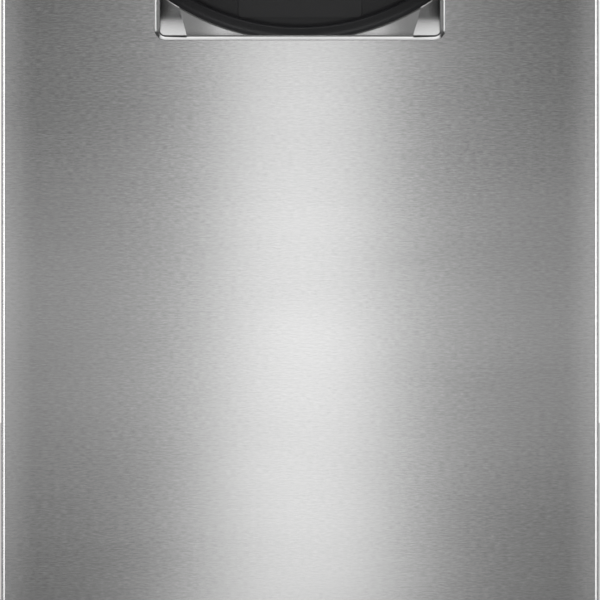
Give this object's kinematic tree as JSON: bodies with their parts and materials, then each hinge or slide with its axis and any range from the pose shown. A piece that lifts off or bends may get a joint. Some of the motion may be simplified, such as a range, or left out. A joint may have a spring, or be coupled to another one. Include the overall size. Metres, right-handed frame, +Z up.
{
  "type": "trash compactor",
  "caption": "Under-counter trash compactor: a stainless drawer front with a pocket handle carries a bin, and a ram on two power screws presses down into it.",
  "frame": {"origin": "on the floor, under the middle of the machine's outer box", "axes": "+Z up, -Y towards the person in front of the drawer, +X to that person's right hand"},
  "size_m": [0.38, 0.616, 0.868],
  "materials": {
    "brushed_stainless": "stainless steel brushed along its width, satin, with a soft bright band down the middle",
    "satin_stainless": "smooth satin stainless steel",
    "black_moulding": "black moulded plastic with a fine grain",
    "black_gloss": "black glossy plastic",
    "painted_steel": "charcoal baked enamel on sheet steel",
    "galvanised_steel": "galvanised sheet steel with a faint spangle",
    "zinc_plated_steel": "zinc-plated turned steel",
    "machined_steel": "machined and oiled steel",
    "bronze": "turned bearing bronze",
    "nylon": "natural white nylon",
    "rubber": "black rubber",
    "felt": "grey needled felt",
    "amber_lens": "amber translucent plastic",
    "filter_media": "carbon filter block in a black frame"
  },
  "bodies": {
    "cabinet": {"cabinet_wrapper": "painted_steel", "rear_panel": "galvanised_steel", "base_pan": "galvanised_steel", "toe_kick": "painted_steel", "pedal_bracket": "galvanised_steel", "pedal_spring": "zinc_plated_steel", "top_frame": "galvanised_steel", "levelling_foot_front_left": "zinc_plated_steel", "levelling_foot_front_right": "zinc_plated_steel", "levelling_foot_rear_left": "zinc_plated_steel", "levelling_foot_rear_right": "zinc_plated_steel", "lower_bearing_left": "bronze", "lower_bearing_right": "bronze", "upper_bearing_left": "bronze", "upper_bearing_right": "bronze", "track_left": "galvanised_steel", "track_right": "galvanised_steel", "motor_housing": "painted_steel", "motor_plate": "galvanised_steel", "drive_chain": "machined_steel", "console_fascia": "brushed_stainless", "console_housing": "black_moulding", "control_inlay": "black_gloss", "indicator_lens": "amber_lens", "fan_housing": "black_moulding", "filter_cartridge": "filter_media", "junction_box": "black_moulding", "cord_gland": "black_moulding", "limit_switch": "black_moulding", "drawer_switch": "black_moulding"},
    "drawer": {"drawer_front": "brushed_stainless", "drawer_inner_panel": "galvanised_steel", "sound_pad": "felt", "handle_bezel": "satin_stainless", "handle_scoop": "satin_stainless", "handle_cup": "black_moulding", "drawer_frame": "galvanised_steel", "latch_strike": "galvanised_steel", "bin": "painted_steel"},
    "ram": {"ram_plate": "painted_steel", "ram_wiper": "rubber", "ram_housing": "painted_steel", "ram_crosshead": "galvanised_steel", "power_nut_left": "bronze", "power_nut_right": "bronze"},
    "screw_left": {"power_screw_left": "machined_steel", "screw_sprocket_left": "machined_steel"},
    "screw_right": {"power_screw_right": "machined_steel", "screw_sprocket_right": "machined_steel"},
    "gear": {"drive_gear": "machined_steel"},
    "pinion": {"motor_pinion": "machined_steel"},
    "front_roller_left": {"cabinet_roller_left": "nylon"},
    "front_roller_right": {"cabinet_roller_right": "nylon"},
    "rear_roller_left": {"drawer_roller_left": "nylon"},
    "rear_roller_right": {"drawer_roller_right": "nylon"},
    "pedal": {"foot_pedal": "black_moulding"},
    "knob": {"key_knob": "black_moulding"},
    "button": {"start_button": "black_moulding"},
    "rocker": {"fan_rocker": "black_moulding"},
    "fan": {"fan_wheel": "black_moulding"}
  },
  "joints": [
    {"name": "drawer_slide", "type": "slide", "parent": "cabinet", "child": "drawer", "axis": [0, -1, 0], "range_m": [0, 0.4]},
    {"name": "ram_slide", "type": "slide", "parent": "cabinet", "child": "ram", "axis": [0, 0, 1], "range_m": [-0.32, 0]},
    {"name": "screw_left_turn", "type": "hinge", "parent": "cabinet", "child": "screw_left", "pos_m": [-0.168, -0.0658, 0.1], "axis": [0, 0, 1], "continuous": true},
    {"name": "screw_right_turn", "type": "hinge", "parent": "cabinet", "child": "screw_right", "pos_m": [0.168, -0.0658, 0.1], "axis": [0, 0, 1], "continuous": true},
    {"name": "gear_turn", "type": "hinge", "parent": "cabinet", "child": "gear", "pos_m": [0, 0.162, 0.079], "axis": [0, 0, 1], "continuous": true},
    {"name": "pinion_turn", "type": "hinge", "parent": "cabinet", "child": "pinion", "pos_m": [0, 0.234, 0.079], "axis": [0, 0, 1], "continuous": true},
    {"name": "front_roller_left_turn", "type": "hinge", "parent": "cabinet", "child": "front_roller_left", "pos_m": [-0.143, -0.232, 0.1102], "axis": [1, 0, 0], "continuous": true},
    {"name": "front_roller_right_turn", "type": "hinge", "parent": "cabinet", "child": "front_roller_right", "pos_m": [0.143, -0.232, 0.1102], "axis": [1, 0, 0], "continuous": true},
    {"name": "rear_roller_left_turn", "type": "hinge", "parent": "drawer", "child": "rear_roller_left", "pos_m": [-0.143, 0.2, 0.1114], "axis": [1, 0, 0], "continuous": true},
    {"name": "rear_roller_right_turn", "type": "hinge", "parent": "drawer", "child": "rear_roller_right", "pos_m": [0.143, 0.2, 0.1114], "axis": [1, 0, 0], "continuous": true},
    {"name": "pedal_press", "type": "hinge", "parent": "cabinet", "child": "pedal", "pos_m": [0, -0.212, 0.081], "axis": [1, 0, 0], "range_deg": [0, 12], "stiffness_Nm_per_rad": 1.2, "springref_deg": -20.05, "deforming": ["pedal_spring"]},
    {"name": "knob_turn", "type": "hinge", "parent": "cabinet", "child": "knob", "pos_m": [-0.112, -0.2961, 0.82], "axis": [0, 1, 0], "range_deg": [0, 90]},
    {"name": "button_press", "type": "slide", "parent": "cabinet", "child": "button", "axis": [0, 1, 0], "range_m": [0, 0.003], "stiffness_N_per_m": 600, "springref_m": -0.002},
    {"name": "rocker_tilt", "type": "hinge", "parent": "cabinet", "child": "rocker", "pos_m": [0.105, -0.2903, 0.82], "axis": [-1, 0, 0], "range_deg": [0, 16]},
    {"name": "fan_turn", "type": "hinge", "parent": "cabinet", "child": "fan", "pos_m": [0, 0.28, 0.7], "axis": [0, 1, 0], "continuous": true}
  ],
  "couplings": [
    {"joint": "screw_left_turn", "follows": "ram_slide", "rad_per_m": -628.32},
    {"joint": "screw_right_turn", "follows": "ram_slide", "rad_per_m": -628.32},
    {"joint": "gear_turn", "follows": "ram_slide", "rad_per_m": -628.32},
    {"joint": "pinion_turn", "follows": "ram_slide", "rad_per_m": 3141.6},
    {"joint": "front_roller_left_turn", "follows": "drawer_slide", "rad_per_m": 83.333},
    {"joint": "front_roller_right_turn", "follows": "drawer_slide", "rad_per_m": 83.333},
    {"joint": "rear_roller_left_turn", "follows": "drawer_slide", "rad_per_m": 75.758},
    {"joint": "rear_roller_right_turn", "follows": "drawer_slide", "rad_per_m": 75.758}
  ]
}
